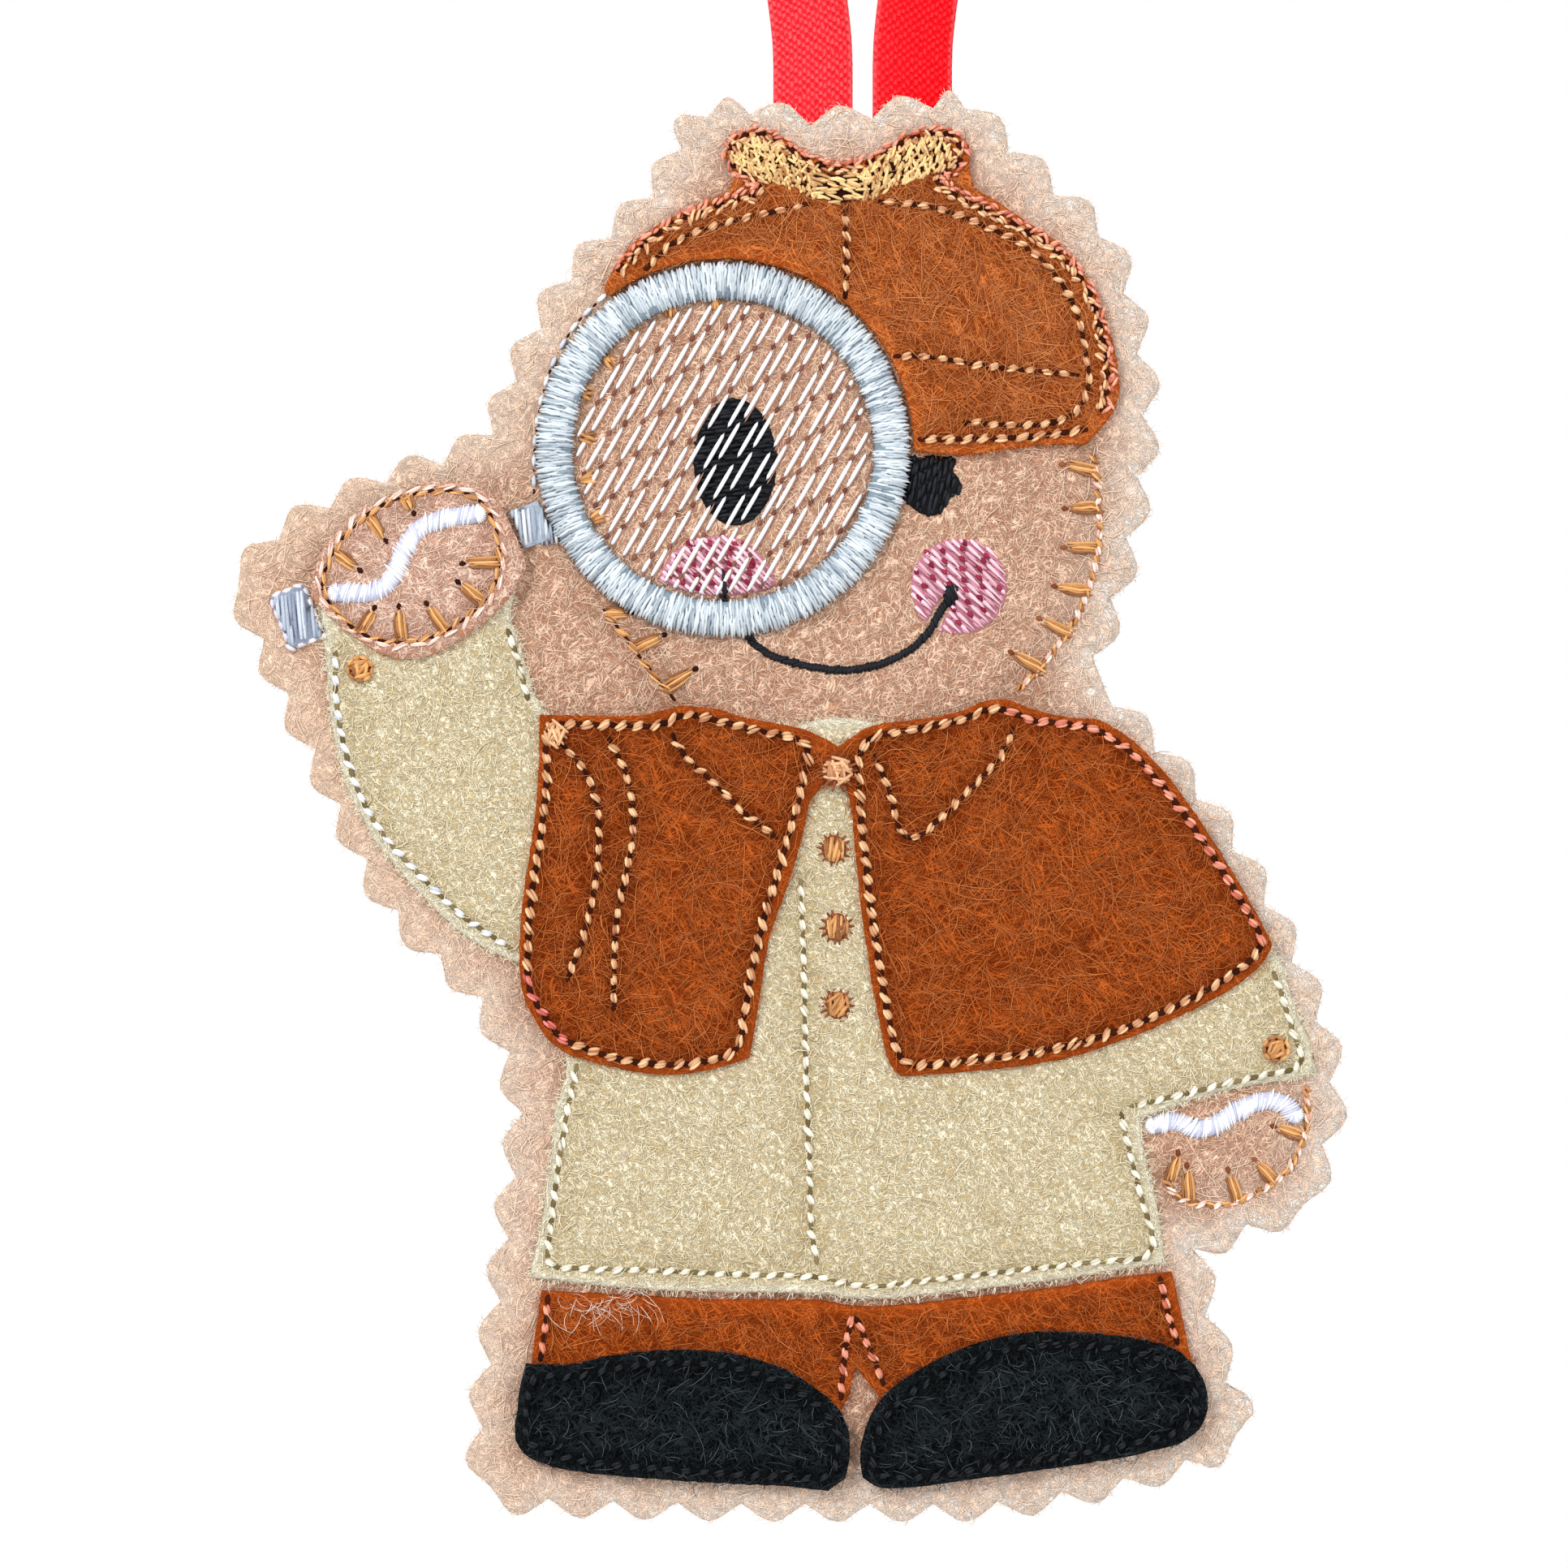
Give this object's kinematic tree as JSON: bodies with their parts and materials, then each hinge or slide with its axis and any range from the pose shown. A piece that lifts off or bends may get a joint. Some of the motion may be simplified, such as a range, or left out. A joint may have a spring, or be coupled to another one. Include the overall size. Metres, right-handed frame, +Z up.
{
  "type": "felt christmas ornament",
  "caption": "Flat felt doll ornament of stitched layers with pinked edges and a satin-stitched magnifying glass, hung by a folded ribbon loop.",
  "frame": {"origin": "inside top of the ribbon loop, where a hook carries the ornament", "axes": "+Z up along the hanging ornament, the decorated front faces -Y, +X is the viewer's right when looking at the front"},
  "size_m": [0.0889, 0.0073, 0.1828],
  "materials": {
    "tan_felt": "fuzzy tan craft felt",
    "hand_felt": "fuzzy peach-tan craft felt",
    "cream_felt": "fuzzy cream craft felt",
    "rust_felt": "fuzzy rust-brown craft felt with loose pale fibres",
    "black_felt": "fuzzy charcoal-black craft felt",
    "pale_sheet": "thin pale non-woven sheet",
    "red_ribbon": "red woven ribbon with a soft sheen",
    "gold_thread": "gold embroidery thread, satin sheen",
    "pale_gold_thread": "pale gold embroidery thread, satin sheen",
    "salmon_thread": "salmon embroidery thread, satin sheen",
    "white_thread": "white embroidery thread, satin sheen",
    "ice_thread": "pale ice-blue embroidery thread, satin sheen",
    "pink_thread": "pink embroidery thread, satin sheen",
    "black_thread": "black embroidery thread, satin sheen"
  },
  "bodies": {
    "hanger": {"ribbon_loop": "red_ribbon"},
    "ornament": {"ribbon_tail_left": "red_ribbon", "ribbon_tail_right": "red_ribbon", "stabiliser_sheet": "pale_sheet", "front_felt": "tan_felt", "back_felt": "tan_felt", "raised_hand_felt": "hand_felt", "coat_felt": "cream_felt", "trousers_felt": "rust_felt", "cape_felt": "rust_felt", "hat_felt": "rust_felt", "left_shoe_felt": "black_felt", "right_shoe_felt": "black_felt", "hat_bow": "gold_thread", "neck_button": "gold_thread", "coat_button_top": "gold_thread", "coat_button_middle": "gold_thread", "coat_button_bottom": "gold_thread", "cuff_button_left": "gold_thread", "cuff_button_right": "gold_thread", "magnifier_rim": "ice_thread", "magnifier_ferrule": "ice_thread", "magnifier_handle_cap": "ice_thread", "lens_hatch": "white_thread", "raised_hand_icing": "white_thread", "lowered_hand_icing": "white_thread", "magnified_eye": "black_thread", "open_eye": "black_thread", "smile": "black_thread", "cheek": "pink_thread", "magnified_cheek": "pink_thread", "face_seam_right": "white_thread", "face_seam_left": "white_thread", "raised_hand_seam": "white_thread", "lowered_hand_seam": "white_thread", "hat_outline_seam": "salmon_thread", "hat_inner_seam_left": "pale_gold_thread", "hat_inner_seam_right": "pale_gold_thread", "hat_panel_seam": "pale_gold_thread", "hat_brim_seam": "pale_gold_thread", "hat_edge_seam": "pale_gold_thread", "left_sleeve_outer_seam": "white_thread", "left_sleeve_inner_seam": "white_thread", "right_sleeve_seam": "white_thread", "coat_placket_seam": "white_thread", "coat_edge_seam": "white_thread", "trousers_left_seam": "salmon_thread", "trousers_right_seam": "salmon_thread", "trousers_split_seam": "salmon_thread", "cape_left_edge_seam": "pale_gold_thread", "cape_right_edge_seam": "salmon_thread", "collar_left_seam": "pale_gold_thread", "collar_right_seam": "pale_gold_thread", "cape_outer_fold_seam": "pale_gold_thread", "cape_inner_fold_seam": "pale_gold_thread", "left_shoe_seam": "black_thread", "right_shoe_seam": "black_thread", "back_outline_seam": "white_thread"}
  },
  "joints": [
    {"name": "hanger_fold", "type": "hinge", "parent": "hanger", "child": "ornament", "pos_m": [0, 0, -0.0663], "axis": [1, 0, 0], "range_deg": [-120, 120]}
  ]
}
